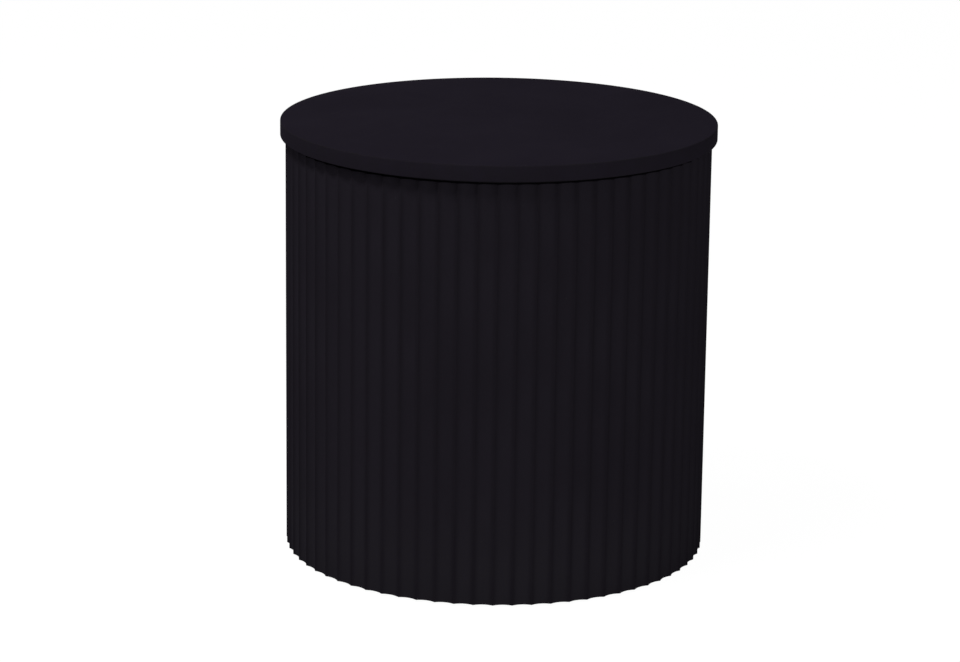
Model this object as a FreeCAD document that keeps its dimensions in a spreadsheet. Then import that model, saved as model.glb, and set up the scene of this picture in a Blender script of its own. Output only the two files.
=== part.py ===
import FreeCAD, Part
import os
import re

import Sketcher

# A round lamp table: a flat top on a closed drum with flutes all round it.
# Millimetres and degrees. The origin is on the floor under the middle, +Z is up and -Y is the front.

SIZES = {
    # The whole table
    "table_height": 505.0,
    "top_diameter": 500.0,
    "top_thickness": 18.0,
    "top_edge_round": 1.2,
    "drum_diameter": 488.0,
    "shadow_gap": 4.0,
    "floor_gap": 3.0,
    # The fluted wrap, one bent board whose ends meet at the back
    "wrap_thickness": 9.0,
    "flute_count": 70,
    "flute_depth": 3.0,
    "flute_land": 1.0,
    "seam_width": 0.4,
    # The frame inside the wrap
    "glue_line": 0.2,
    "ring_thickness": 18.0,
    "ring_width": 65.0,
    "stile_count": 8,
    "stile_width": 40.0,
    "stile_depth": 18.0,
    "stile_clearance": 0.1,
    "base_thickness": 18.0,
    "base_recess": 11.0,
    # Countersunk wood screws. The shares give their cross recess by the head's width and depth
    "screw_diameter": 4.0,
    "screw_head_diameter": 8.0,
    "screw_tip_length": 5.0,
    "screw_sink": 0.5,
    "screw_clearance": 0.1,
    "recess_length_share": 0.54,
    "recess_width_share": 0.16,
    "recess_depth_share": 0.65,
    "top_screw_length": 28.0,
    "ring_screw_length": 40.0,
    "base_screw_length": 50.0,
    # Screws and dowels that hold the top, one of each in turn round the top ring
    "top_fixing_count": 4,
    "top_fixing_inset": 16.0,
    "top_screw_place_share": 0.25,
    "dowel_place_share": 0.75,
    "dowel_diameter": 8.0,
    "dowel_length": 25.0,
    "dowel_chamfer": 1.0,
    "dowel_clearance": 0.05,
    "dowel_end_room": 0.5,
    # Levelling feet: a threaded stem that turns in an insert and carries a pad
    "foot_count": 4,
    "foot_inset": 45.0,
    "foot_travel": 10.0,
    "thread_engagement": 12.0,
    "stem_diameter": 8.0,
    "stem_chamfer": 1.0,
    "stem_clearance": 0.05,
    "pin_diameter": 6.0,
    "rivet_diameter": 9.0,
    "rivet_thickness": 1.0,
    "rivet_clearance": 0.2,
    "collar_across_flats": 13.0,
    "collar_thickness": 4.0,
    "bearing_clearance": 0.05,
    "insert_diameter": 12.0,
    "insert_length": 14.0,
    "insert_clearance": 0.1,
    "flange_diameter": 18.0,
    "flange_thickness": 1.5,
    "pad_diameter": 30.0,
    "pad_rim_height": 3.5,
    "pad_crown_diameter": 18.0,
    "pad_rim_width": 2.0,
    "sole_thickness": 2.0,
    "sole_proud": 1.0,
    "sole_clearance": 0.1,
    # How far a cutting shape runs past the face that it cuts
    "cut_overrun": 2.0,
}

# Heights above the floor
BASE_UNDERSIDE = "(floor_gap + base_recess)"
BASE_TOP = f"({BASE_UNDERSIDE} + base_thickness)"
TOP_UNDERSIDE = "(table_height - top_thickness)"
WRAP_TOP = f"({TOP_UNDERSIDE} - shadow_gap)"
TOP_RING_UNDERSIDE = f"({TOP_UNDERSIDE} - ring_thickness)"
MIDDLE_RING_UNDERSIDE = f"(({BASE_TOP} + {TOP_RING_UNDERSIDE} - ring_thickness) / 2)"
COLLAR_TOP = f"({BASE_UNDERSIDE} - flange_thickness)"
COLLAR_UNDERSIDE = f"({COLLAR_TOP} - collar_thickness)"
PAD_TOP = f"({COLLAR_UNDERSIDE} - bearing_clearance)"
RIVET_UNDERSIDE = "(sole_thickness + bearing_clearance)"
RIVET_TOP = f"({RIVET_UNDERSIDE} + rivet_thickness)"
RIVET_ROOM_TOP = f"({RIVET_TOP} + bearing_clearance)"
STEM_TOP = f"({COLLAR_TOP} + foot_travel + thread_engagement)"

# Distances from the table's axis
WRAP_OUTSIDE = "(drum_diameter / 2)"
WRAP_INSIDE = f"({WRAP_OUTSIDE} - wrap_thickness)"
FLUTE_BOTTOM = f"({WRAP_OUTSIDE} - flute_depth)"
FRAME_OUTSIDE = f"({WRAP_INSIDE} - glue_line)"
RING_INSIDE = f"({FRAME_OUTSIDE} - ring_width)"
STILE_BACK = f"({FRAME_OUTSIDE} - stile_depth)"
TOP_FIXING_CIRCLE = f"({RING_INSIDE} + top_fixing_inset)"
BASE_SCREW_CIRCLE = f"({FRAME_OUTSIDE} - stile_depth / 2)"
FOOT_CIRCLE = f"({FRAME_OUTSIDE} - foot_inset)"

# Angles round the table. BACK is measured from +X, and the others from the back
BACK = "90"
STILE_STEP = "(360 / stile_count)"
TOP_SCREW_ANGLE = "(360 / top_fixing_count * top_screw_place_share)"
DOWEL_ANGLE = "(360 / top_fixing_count * dowel_place_share)"
FOOT_ANGLE = "(180 / foot_count)"
HALF_FLUTE_STEP = "(180 / flute_count)"
HALF_FLUTE_ANGLE = f"({HALF_FLUTE_STEP} - 180 * flute_land / (pi * drum_diameter))"

# Radii of the small round pieces
SCREW_RADIUS = "(screw_diameter / 2)"
HEAD_RADIUS = "(screw_head_diameter / 2)"
HEAD_DEPTH = f"({HEAD_RADIUS} - {SCREW_RADIUS})"
RECESS_END = f"({HEAD_RADIUS} * recess_length_share)"
RECESS_SIDE = f"({HEAD_RADIUS} * recess_width_share)"
RECESS_DEPTH = f"({HEAD_DEPTH} * recess_depth_share)"
DOWEL_RADIUS = "(dowel_diameter / 2)"
DOWEL_BORE_DEPTH = "(dowel_length / 2 + dowel_end_room)"
STEM_RADIUS = "(stem_diameter / 2)"
THREAD_RADIUS = f"({STEM_RADIUS} + stem_clearance)"
PIN_RADIUS = "(pin_diameter / 2)"
PIN_BORE_RADIUS = f"({PIN_RADIUS} + stem_clearance)"
RIVET_RADIUS = "(rivet_diameter / 2)"
RIVET_ROOM_RADIUS = f"({RIVET_RADIUS} + rivet_clearance)"
INSERT_RADIUS = "(insert_diameter / 2)"
FLANGE_RADIUS = "(flange_diameter / 2)"
PAD_RADIUS = "(pad_diameter / 2)"
CROWN_RADIUS = "(pad_crown_diameter / 2)"
SOLE_SEAT_RADIUS = f"({PAD_RADIUS} - pad_rim_width)"
SOLE_RADIUS = f"({SOLE_SEAT_RADIUS} - sole_clearance)"

UP = FreeCAD.Vector(0, 0, 1)
START_POINT, END_POINT, CENTRE_POINT = range(1, 4)
HEXAGON_ANGLES = range(0, 360, 60)

doc = FreeCAD.newDocument("LampTable")


def make_sheet():
    """The driving dimensions, one row each."""
    rows = doc.addObject("Spreadsheet::Sheet", "Sizes")
    for row, (alias, number) in enumerate(SIZES.items(), start=1):
        rows.set(f"A{row}", alias)
        rows.set(f"B{row}", str(number))
        rows.setAlias(f"B{row}", alias)
    doc.recompute()
    return rows


sheet = make_sheet()


# Formulas and placing

def in_sheet(formula):
    """The formula with each size's name pointing at its cell."""
    return re.sub(r"[a-z]+(?:_[a-z]+)+", r"Sizes.\g<0>", formula)


def value(formula):
    return float(sheet.evalExpression(in_sheet(formula)))


def bind(target, name, formula):
    target.setExpression(name, in_sheet(formula))


def bind_place(target, name, base, turn_axis, turn):
    """Ties a placement to formulas for its three coordinates and its turn."""
    vector = f"vector({base[0]}; {base[1]}; {base[2]})"
    rotation = f"rotation(vector({turn_axis}); {turn})"
    bind(target, name, f"placement({vector}; {rotation})")


def new_body(label, height="0", x="0", y="0", turn=BACK):
    """A piece drawn on its own lower face, with x towards the table's back unless it is turned further."""
    body = doc.addObject("PartDesign::Body", label)
    body.Label = label
    bind_place(body, "Placement", (x, y, height), "0; 0; 1", turn)
    return body


def origin_feature(body, role):
    return next(feature for feature in body.Origin.OriginFeatures if feature.Role == role)


def new_sketch(body, name, plane, base=("0", "0", "0"), turn_axis="0; 0; 1", turn="0"):
    sketch = body.newObject("Sketcher::SketchObject", name)
    sketch.AttachmentSupport = [(origin_feature(body, plane), "")]
    sketch.MapMode = "FlatFace"
    bind_place(sketch, "AttachmentOffset", base, turn_axis, turn)
    return sketch


def level_sketch(body, name, height="0"):
    """A sketch lying level at a height above the piece's lower face."""
    return new_sketch(body, name, "XY_Plane", base=("0", "0", height))


def upright_sketch(body, name, turn="0"):
    """A sketch standing on the piece's axis, x outwards and y up, turned about that axis."""
    return new_sketch(body, name, "XZ_Plane", turn_axis="0; 1; 0", turn=turn)


# Drawing

def dimension(sketch, kind, place, formula):
    """A dimension of a sketch, tied to its formula."""
    number = sketch.addConstraint(Sketcher.Constraint(kind, *place, value(formula)))
    bind(sketch, f"Constraints[{number}]", formula)


def draw_circle(sketch, radius, x="0", y="0"):
    centre = FreeCAD.Vector(value(x), value(y), 0)
    circle = sketch.addGeometry(Part.Circle(centre, UP, value(radius)))
    dimension(sketch, "Radius", (circle,), radius)
    dimension(sketch, "DistanceX", (circle, CENTRE_POINT), x)
    dimension(sketch, "DistanceY", (circle, CENTRE_POINT), y)


def draw_outline(sketch, corners):
    """A closed outline of straight lines, each corner an x and a y formula. Returns its last line."""
    points = [FreeCAD.Vector(value(x), value(y), 0) for x, y in corners]
    next_points = points[1:] + points[:1]
    lines = [sketch.addGeometry(Part.LineSegment(a, b)) for a, b in zip(points, next_points)]
    for line, next_line in zip(lines, lines[1:] + lines[:1]):
        sketch.addConstraint(Sketcher.Constraint("Coincident", line, END_POINT, next_line, START_POINT))
    for line, (x, y) in zip(lines, corners):
        dimension(sketch, "DistanceX", (line, START_POINT), x)
        dimension(sketch, "DistanceY", (line, START_POINT), y)
    return f"Edge{len(lines)}"


def draw_bar(sketch, inner, outer, width):
    """A rectangle along the x axis and centred on it."""
    low = f"(0 - {width} / 2)"
    high = f"({width} / 2)"
    draw_outline(sketch, [(inner, low), (outer, low), (outer, high), (inner, high)])


def draw_cross(sketch, x="0", y="0"):
    """The outline of a screw head's cross recess round a centre."""
    quarter = [(RECESS_END, RECESS_SIDE), (RECESS_SIDE, RECESS_SIDE), (RECESS_SIDE, RECESS_END)]
    corners = []
    for _ in range(4):
        corners += [(f"{x} + {right}", f"{y} + {up}") for right, up in quarter]
        quarter = [(f"(0 - {up})", right) for right, up in quarter]
    draw_outline(sketch, corners)


# Features

def add_feature(body, kind, sketch):
    feature = body.newObject(f"PartDesign::{kind}", f"{sketch.Name}_{kind.lower()}")
    feature.Profile = sketch
    return feature


def pad(body, sketch, length):
    feature = add_feature(body, "Pad", sketch)
    bind(feature, "Length", length)
    doc.recompute()
    return feature


def turn_solid(body, sketch, axis="V_Axis"):
    feature = add_feature(body, "Revolution", sketch)
    feature.ReferenceAxis = (sketch, [axis])
    doc.recompute()
    return feature


def checked_cut(body, feature, volume_before):
    """Stops the build where a cut misses its piece."""
    doc.recompute()
    if not body.Shape.Volume < volume_before:
        raise RuntimeError(f"{feature.Name} cuts nothing from {body.Label}")
    return feature


def pocket(body, sketch, depth, along_normal):
    """A cut of a sketch's outline, along the sketch's normal or against it."""
    volume_before = body.Shape.Volume
    feature = add_feature(body, "Pocket", sketch)
    feature.Reversed = along_normal
    bind(feature, "Length", depth)
    return checked_cut(body, feature, volume_before)


def groove(body, sketch, axis):
    volume_before = body.Shape.Volume
    feature = add_feature(body, "Groove", sketch)
    feature.ReferenceAxis = (sketch, [axis])
    return checked_cut(body, feature, volume_before)


def repeat_round(body, features, count):
    """Copies features evenly about the piece's upright axis."""
    pattern = body.newObject("PartDesign::PolarPattern", f"{features[0].Name}_round")
    pattern.Originals = features
    pattern.Axis = (origin_feature(body, "Z_Axis"), [""])
    pattern.Angle = 360
    bind(pattern, "Occurrences", count)
    body.Tip = pattern
    doc.recompute()


# Screws and the holes that they sit in

def screw_section(length):
    """Half a screw's section. Corners are a depth from the head's face and a distance from the axis."""
    return [
        ("0", "0"),
        ("0", HEAD_RADIUS),
        (HEAD_DEPTH, SCREW_RADIUS),
        (f"({length} - screw_tip_length)", SCREW_RADIUS),
        (length, "0"),
    ]


def screw_hole_section(length):
    """The same section with room round it, open at the face that the head is sunk into."""
    mouth = "(0 - screw_sink - cut_overrun)"
    head = f"({HEAD_RADIUS} + screw_clearance)"
    shank = f"({SCREW_RADIUS} + screw_clearance)"
    return [
        (mouth, "0"),
        (mouth, head),
        ("0", head),
        (HEAD_DEPTH, shank),
        (f"({length} - screw_tip_length)", shank),
        (f"({length} + screw_clearance)", "0"),
    ]


def draw_rising(sketch, section, circle, head_height):
    """A section whose axis is upright, with the head below. Returns the axis."""
    return draw_outline(sketch, [(f"{circle} + {out}", f"{head_height} + {depth}") for depth, out in section])


def draw_inward(sketch, section, height):
    """A section whose axis runs from the frame's outside towards the table's axis. Returns the axis."""
    head = f"({FRAME_OUTSIDE} - screw_sink)"
    return draw_outline(sketch, [(f"{head} - {depth}", f"{height} + {out}") for depth, out in section])


def rising_hole(body, name, length, circle, face_height, turn="0"):
    """A hole for a screw driven upwards through a face at a height."""
    sketch = upright_sketch(body, name, turn)
    axis = draw_rising(sketch, screw_hole_section(length), circle, f"({face_height} + screw_sink)")
    return groove(body, sketch, axis)


def inward_hole(body, name, height):
    """A hole for a screw driven through a stile into the edge of a ring."""
    sketch = upright_sketch(body, name)
    axis = draw_inward(sketch, screw_hole_section("ring_screw_length"), height)
    return groove(body, sketch, axis)


def make_rising_screws(label, length, circle, face_height, count, turn=BACK):
    """Screws round a circle, driven upwards through a face at a height above the floor."""
    body = new_body(label, f"{face_height} + screw_sink", turn=turn)
    section = upright_sketch(body, f"{label}_section")
    axis = draw_rising(section, screw_section(length), circle, "0")
    screw = turn_solid(body, section, axis)
    recess = level_sketch(body, f"{label}_recess")
    draw_cross(recess, x=circle)
    cut = pocket(body, recess, RECESS_DEPTH, along_normal=True)
    repeat_round(body, [screw, cut], count)
    return body


def make_ring_screws(label, ring_underside):
    """One screw through each stile into the edge of a ring."""
    body = new_body(label, f"{ring_underside} + ring_thickness / 2")
    section = upright_sketch(body, f"{label}_section")
    axis = draw_inward(section, screw_section("ring_screw_length"), "0")
    screw = turn_solid(body, section, axis)
    head = f"{FRAME_OUTSIDE} - screw_sink"
    recess = new_sketch(body, f"{label}_recess", "YZ_Plane", base=("0", "0", head))
    draw_cross(recess)
    cut = pocket(body, recess, RECESS_DEPTH, along_normal=False)
    repeat_round(body, [screw, cut], "stile_count")
    return body


# Top

def draw_dowel_bore(sketch):
    across = f"{TOP_FIXING_CIRCLE} * cos({DOWEL_ANGLE})"
    back = f"{TOP_FIXING_CIRCLE} * sin({DOWEL_ANGLE})"
    draw_circle(sketch, f"{DOWEL_RADIUS} + dowel_clearance", across, back)


def round_edges(body, board, radius):
    """Rounds both circular edges of a disc."""
    circles = [f"Edge{n}" for n, edge in enumerate(board.Shape.Edges, start=1) if edge.Closed]
    rounding = body.newObject("PartDesign::Fillet", f"{board.Name}_edges")
    rounding.Base = (board, circles)
    bind(rounding, "Radius", radius)
    doc.recompute()


def make_top_panel():
    body = new_body("top_panel", TOP_UNDERSIDE)
    outline = level_sketch(body, "top_outline")
    draw_circle(outline, "top_diameter / 2")
    board = pad(body, outline, "top_thickness")
    round_edges(body, board, "top_edge_round")
    ring_underside = "(0 - ring_thickness)"
    pilot = rising_hole(
        body, "top_pilot", "top_screw_length", TOP_FIXING_CIRCLE, ring_underside, TOP_SCREW_ANGLE
    )
    repeat_round(body, [pilot], "top_fixing_count")
    bore = level_sketch(body, "top_dowel_bore")
    draw_dowel_bore(bore)
    dowel_bore = pocket(body, bore, DOWEL_BORE_DEPTH, along_normal=True)
    repeat_round(body, [dowel_bore], "top_fixing_count")
    return body


def make_dowels():
    middle = f"{TOP_UNDERSIDE} - dowel_length / 2"
    body = new_body("top_dowels", middle, turn=f"{BACK} + {DOWEL_ANGLE}")
    section = upright_sketch(body, "dowel_section")
    corners = [
        ("0", "0"),
        (f"({DOWEL_RADIUS} - dowel_chamfer)", "0"),
        (DOWEL_RADIUS, "dowel_chamfer"),
        (DOWEL_RADIUS, "dowel_length - dowel_chamfer"),
        (f"({DOWEL_RADIUS} - dowel_chamfer)", "dowel_length"),
        ("0", "dowel_length"),
    ]
    axis = draw_outline(section, [(f"{TOP_FIXING_CIRCLE} + {out}", up) for out, up in corners])
    dowel = turn_solid(body, section, axis)
    repeat_round(body, [dowel], "top_fixing_count")
    return body


# Frame

def make_ring(label, underside):
    """A ring with a notch in its edge for each stile, and a hole for the screw through it."""
    body = new_body(label, underside)
    outline = level_sketch(body, f"{label}_outline")
    draw_circle(outline, FRAME_OUTSIDE)
    draw_circle(outline, RING_INSIDE)
    pad(body, outline, "ring_thickness")
    notch = level_sketch(body, f"{label}_notch")
    draw_bar(
        notch,
        f"{STILE_BACK} - stile_clearance",
        f"{FRAME_OUTSIDE} + cut_overrun",
        "(stile_width + 2 * stile_clearance)",
    )
    notch_cut = pocket(body, notch, "ring_thickness", along_normal=True)
    repeat_round(body, [notch_cut], "stile_count")
    screw_hole = inward_hole(body, f"{label}_screw_hole", "ring_thickness / 2")
    repeat_round(body, [screw_hole], "stile_count")
    return body


def make_top_ring():
    body = make_ring("top_ring", TOP_RING_UNDERSIDE)
    hole = rising_hole(body, "top_screw_hole", "top_screw_length", TOP_FIXING_CIRCLE, "0", TOP_SCREW_ANGLE)
    repeat_round(body, [hole], "top_fixing_count")
    bore = level_sketch(body, "ring_dowel_bore", "ring_thickness")
    draw_dowel_bore(bore)
    dowel_bore = pocket(body, bore, DOWEL_BORE_DEPTH, along_normal=False)
    repeat_round(body, [dowel_bore], "top_fixing_count")
    return body


def make_stile(number):
    """An upright let into the rings, its outer face planed to the drum's curve."""
    body = new_body(f"stile_{number}", BASE_TOP, turn=f"{BACK} + {STILE_STEP} * {number - 1}")
    section = level_sketch(body, "stile_section")
    draw_bar(section, STILE_BACK, f"{FRAME_OUTSIDE} + cut_overrun", "stile_width")
    length = f"({TOP_UNDERSIDE} - {BASE_TOP})"
    pad(body, section, length)
    curve = level_sketch(body, "stile_curve")
    draw_circle(curve, FRAME_OUTSIDE)
    draw_circle(curve, f"{FRAME_OUTSIDE} + stile_depth")
    pocket(body, curve, length, along_normal=True)
    rising_hole(body, "stile_foot_hole", "base_screw_length", BASE_SCREW_CIRCLE, "(0 - base_thickness)")
    for ring_underside in (MIDDLE_RING_UNDERSIDE, TOP_RING_UNDERSIDE):
        inward_hole(body, "stile_ring_hole", f"({ring_underside} + ring_thickness / 2 - {BASE_TOP})")
    return body


def make_base_board():
    body = new_body("base_board", BASE_UNDERSIDE)
    outline = level_sketch(body, "base_outline")
    draw_circle(outline, FRAME_OUTSIDE)
    pad(body, outline, "base_thickness")
    hole = rising_hole(body, "base_screw_hole", "base_screw_length", BASE_SCREW_CIRCLE, "0")
    repeat_round(body, [hole], "stile_count")
    bore = level_sketch(body, "insert_bore")
    across = f"{FOOT_CIRCLE} * cos({FOOT_ANGLE})"
    back = f"{FOOT_CIRCLE} * sin({FOOT_ANGLE})"
    draw_circle(bore, f"{INSERT_RADIUS} + insert_clearance", across, back)
    insert_bore = pocket(body, bore, "base_thickness", along_normal=True)
    repeat_round(body, [insert_bore], "foot_count")
    return body


# Fluted wrap

def flute_radius():
    """The radius of a round flute as deep and as wide as the sizes say."""
    level_out = f"({WRAP_OUTSIDE} * cos({HALF_FLUTE_ANGLE}))"
    chord_square = f"({FLUTE_BOTTOM}^2 + {WRAP_OUTSIDE}^2 - 2 * {FLUTE_BOTTOM} * {level_out})"
    return f"({chord_square} / (2 * ({level_out} - {FLUTE_BOTTOM})))"


def make_fluted_wrap():
    """The wrap is turned half a flute, so an arris faces the front and the seam lies in a flute."""
    body = new_body("fluted_wrap", "floor_gap", turn=f"{BACK} + {HALF_FLUTE_STEP}")
    height = f"({WRAP_TOP} - floor_gap)"
    outline = level_sketch(body, "wrap_outline")
    draw_circle(outline, WRAP_OUTSIDE)
    draw_circle(outline, WRAP_INSIDE)
    pad(body, outline, height)
    flute = level_sketch(body, "flute")
    draw_circle(flute, flute_radius(), x=f"{FLUTE_BOTTOM} + {flute_radius()}")
    flute_cut = pocket(body, flute, height, along_normal=True)
    repeat_round(body, [flute_cut], "flute_count")
    seam = level_sketch(body, "wrap_seam")
    draw_bar(seam, f"{WRAP_INSIDE} - cut_overrun", f"{WRAP_OUTSIDE} + cut_overrun", "seam_width")
    pocket(body, seam, height, along_normal=True)
    return body


# Feet

def foot_body(piece, number, height="0"):
    """One of a foot's pieces, drawn about the foot's own axis."""
    angle = f"({BACK} + {FOOT_ANGLE} * {2 * number - 1})"
    across = f"{FOOT_CIRCLE} * cos({angle})"
    back = f"{FOOT_CIRCLE} * sin({angle})"
    return new_body(f"foot_{piece}_{number}", height, x=across, y=back)


def make_insert(number):
    """A flanged nut let into the base board from below. The stem's collar stops against its flange."""
    body = foot_body("insert", number, BASE_UNDERSIDE)
    section = upright_sketch(body, "insert_section")
    draw_outline(section, [
        (THREAD_RADIUS, "(0 - flange_thickness)"),
        (FLANGE_RADIUS, "(0 - flange_thickness)"),
        (FLANGE_RADIUS, "0"),
        (INSERT_RADIUS, "0"),
        (INSERT_RADIUS, "insert_length"),
        (THREAD_RADIUS, "insert_length"),
    ])
    turn_solid(body, section)
    return body


def make_stem(number):
    """Rivet, pin and thread turned in one, with a hexagonal collar for a spanner."""
    body = foot_body("stem", number)
    section = upright_sketch(body, "stem_section")
    draw_outline(section, [
        ("0", RIVET_UNDERSIDE),
        (RIVET_RADIUS, RIVET_UNDERSIDE),
        (RIVET_RADIUS, RIVET_TOP),
        (PIN_RADIUS, RIVET_TOP),
        (PIN_RADIUS, COLLAR_UNDERSIDE),
        (STEM_RADIUS, COLLAR_UNDERSIDE),
        (STEM_RADIUS, f"{STEM_TOP} - stem_chamfer"),
        (f"{STEM_RADIUS} - stem_chamfer", STEM_TOP),
        ("0", STEM_TOP),
    ])
    turn_solid(body, section)
    collar = level_sketch(body, "collar_outline", COLLAR_UNDERSIDE)
    corner = "collar_across_flats / sqrt(3)"
    draw_outline(collar, [(f"{corner} * cos({a})", f"{corner} * sin({a})") for a in HEXAGON_ANGLES])
    pad(body, collar, "collar_thickness")
    return body


def make_pad(number):
    """A plastic foot that the stem turns in, hollow underneath for the rivet and the sole."""
    body = foot_body("pad", number)
    section = upright_sketch(body, "pad_section")
    draw_outline(section, [
        (PIN_BORE_RADIUS, PAD_TOP),
        (PIN_BORE_RADIUS, RIVET_ROOM_TOP),
        (RIVET_ROOM_RADIUS, RIVET_ROOM_TOP),
        (RIVET_ROOM_RADIUS, "sole_thickness"),
        (SOLE_SEAT_RADIUS, "sole_thickness"),
        (SOLE_SEAT_RADIUS, "sole_proud"),
        (PAD_RADIUS, "sole_proud"),
        (PAD_RADIUS, "sole_proud + pad_rim_height"),
        (CROWN_RADIUS, PAD_TOP),
    ])
    turn_solid(body, section)
    return body


def make_sole(number):
    body = foot_body("sole", number)
    outline = level_sketch(body, "sole_outline")
    draw_circle(outline, SOLE_RADIUS)
    pad(body, outline, "sole_thickness")
    return body


# The whole table

def make_table():
    pieces = [
        make_top_panel(),
        make_dowels(),
        make_top_ring(),
        make_ring("middle_ring", MIDDLE_RING_UNDERSIDE),
        make_base_board(),
        make_fluted_wrap(),
        make_rising_screws(
            "top_screws",
            "top_screw_length",
            TOP_FIXING_CIRCLE,
            TOP_RING_UNDERSIDE,
            "top_fixing_count",
            f"{BACK} + {TOP_SCREW_ANGLE}",
        ),
        make_ring_screws("top_ring_screws", TOP_RING_UNDERSIDE),
        make_ring_screws("middle_ring_screws", MIDDLE_RING_UNDERSIDE),
        make_rising_screws(
            "base_screws", "base_screw_length", BASE_SCREW_CIRCLE, BASE_UNDERSIDE, "stile_count"
        ),
    ]
    pieces += [make_stile(number) for number in range(1, SIZES["stile_count"] + 1)]
    for number in range(1, SIZES["foot_count"] + 1):
        pieces += [make_insert(number), make_stem(number), make_pad(number), make_sole(number)]
    doc.recompute()
    return pieces


def check(pieces):
    """Stops the build before anything is written if a feature failed or a shape is bad."""
    for item in doc.Objects:
        if "Invalid" in item.State or "Error" in item.State:
            raise RuntimeError(f"{item.Label} failed: {item.State}")
    for piece in pieces:
        if piece.Shape.isNull() or not piece.Shape.isValid():
            raise RuntimeError(f"{piece.Label} has no valid shape")


def write(pieces):
    os.makedirs("parts", exist_ok=True)
    for piece in pieces:
        piece.Shape.exportStep(f"parts/{piece.Label}.step")


table = make_table()
check(table)
write(table)
for piece in table:
    print(f"{piece.Label}: {len(piece.Shape.Solids)} solids, {piece.Shape.Volume / 1000:.1f} cm3")
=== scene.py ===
import math

import bmesh
import bpy
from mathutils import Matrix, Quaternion, Vector


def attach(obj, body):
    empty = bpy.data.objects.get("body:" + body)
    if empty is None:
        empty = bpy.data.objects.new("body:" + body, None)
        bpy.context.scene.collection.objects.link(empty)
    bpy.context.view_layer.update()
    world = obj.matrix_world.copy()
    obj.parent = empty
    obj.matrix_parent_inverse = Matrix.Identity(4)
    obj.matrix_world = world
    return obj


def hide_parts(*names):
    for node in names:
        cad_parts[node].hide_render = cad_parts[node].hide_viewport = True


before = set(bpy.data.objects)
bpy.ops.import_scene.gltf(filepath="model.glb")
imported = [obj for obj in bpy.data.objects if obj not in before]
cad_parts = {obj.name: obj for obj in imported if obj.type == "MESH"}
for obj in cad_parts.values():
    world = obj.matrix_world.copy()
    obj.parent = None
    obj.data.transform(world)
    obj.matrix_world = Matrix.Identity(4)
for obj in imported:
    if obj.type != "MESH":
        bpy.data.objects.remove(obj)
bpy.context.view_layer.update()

# A round lamp table in matt black: a flat top on a closed drum with flutes all round it.
# Metres. The origin is on the floor under the middle, +Z is up and -Y is the front.

MM = 0.001
ORIGIN = (0, 0, 0)
FULL_TURN = 2 * math.pi

# Edges that turn less than this look smooth, on soft shapes and on crisp ones
SOFT_ANGLE = math.radians(35)
CRISP_ANGLE = math.radians(20)

# Axes for spinning a point, named for the turn seen from above
CLOCKWISE = (0, 0, 1)
ANTICLOCKWISE = (0, 0, -1)

# Top board
TABLE_HEIGHT = 505 * MM
TOP_RADIUS = 250 * MM
TOP_THICKNESS = 18 * MM
TOP_EDGE_ROUND = 1.2 * MM
TOP_EDGE_STEPS = 5
TOP_RIM_STEPS = 288
TOP_FACE_RINGS = 5

# Fluted shell
SHELL_LOW = 3 * MM
SHELL_HIGH = 483 * MM
SHELL_RADIUS = 244 * MM
SHELL_THICKNESS = 9 * MM
FLUTE_COUNT = 70
FLUTE_DEPTH = 3 * MM
FLUTE_STEPS = 14
ARRIS_ROUND = 0.8 * MM
ARRIS_STEPS = 3
SHELL_END_ROUND = 0.5 * MM
SHELL_END_STEPS = 3
SHELL_ROWS = 11
SEAM_WIDTH = 0.4 * MM
SEAM_DEPTH = 2.5 * MM
FLUTE_PITCH = FULL_TURN / FLUTE_COUNT
SEAM_ANGLE = math.radians(90) + FLUTE_PITCH / 2

# Uprights inside the shell
STILE_COUNT = 8

# Levelling feet: a pad with a felt sole, and a threaded stem with a collar that turns in it
FOOT_CIRCLE = 189.8 * MM
FOOT_ANGLES = [math.radians(degrees) for degrees in (135, 225, 315, 45)]
TURNED_STEPS = 48
FOOT_EDGE_STEPS = 3
COLLAR_LOW = 8.5 * MM
COLLAR_HIGH = 12.5 * MM
COLLAR_SIDES = 6
COLLAR_ACROSS_FLATS = 13 * MM
COLLAR_CORNER = COLLAR_ACROSS_FLATS / math.sqrt(3)
COLLAR_CHAMFER = 0.7 * MM
COLLAR_CHAMFER_SLOPE = math.radians(30)
SHANK_TOP = 34.5 * MM
THREAD_PITCH = 1.25 * MM
THREAD_CREST = 3.95 * MM
THREAD_ROOT = 3.3 * MM
THREAD_TURNS = int((SHANK_TOP - COLLAR_HIGH) / THREAD_PITCH)
THREAD_STEPS = 24
THREAD_ROOT_END_SHARE = 0.25
THREAD_CREST_START_SHARE = 0.56
THREAD_CREST_END_SHARE = 0.69
PIN_RADIUS = 3 * MM
RIVET_RADIUS = 4.5 * MM
RIVET_LOW = 2.05 * MM
RIVET_HIGH = 3.05 * MM
PAD_RADIUS = 15 * MM
PAD_LOW = 1 * MM
PAD_SHOULDER = 4.5 * MM
PAD_TOP = 8.45 * MM
PAD_CROWN_RADIUS = 9 * MM
PAD_BORE = 3.05 * MM
PAD_EDGE_ROUND = 0.7 * MM
RIVET_ROOM_RADIUS = 4.7 * MM
RIVET_ROOM_TOP = 3.1 * MM
SOLE_SEAT_RADIUS = 13 * MM
SOLE_RADIUS = 12.9 * MM
SOLE_THICKNESS = 2 * MM
SOLE_EDGE_ROUND = 0.5 * MM

# Smallest gap that still counts as one place
SAME_PLACE = 0.01 * MM


def polar(radius, angle, height=0.0):
    return Vector((radius * math.cos(angle), radius * math.sin(angle), height))


# Working on a piece

def deselect_all():
    bpy.ops.object.select_all(action="DESELECT")


def begin(name):
    """Takes up the shape that was just added as a new piece, in edit mode, with its place in its mesh."""
    piece = bpy.context.active_object
    piece.name = name
    piece.data.name = name
    bpy.ops.object.transform_apply(location=True, rotation=True, scale=True)
    bpy.ops.object.mode_set(mode="EDIT")
    bpy.ops.mesh.select_mode(type="VERT")
    return piece


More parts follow.
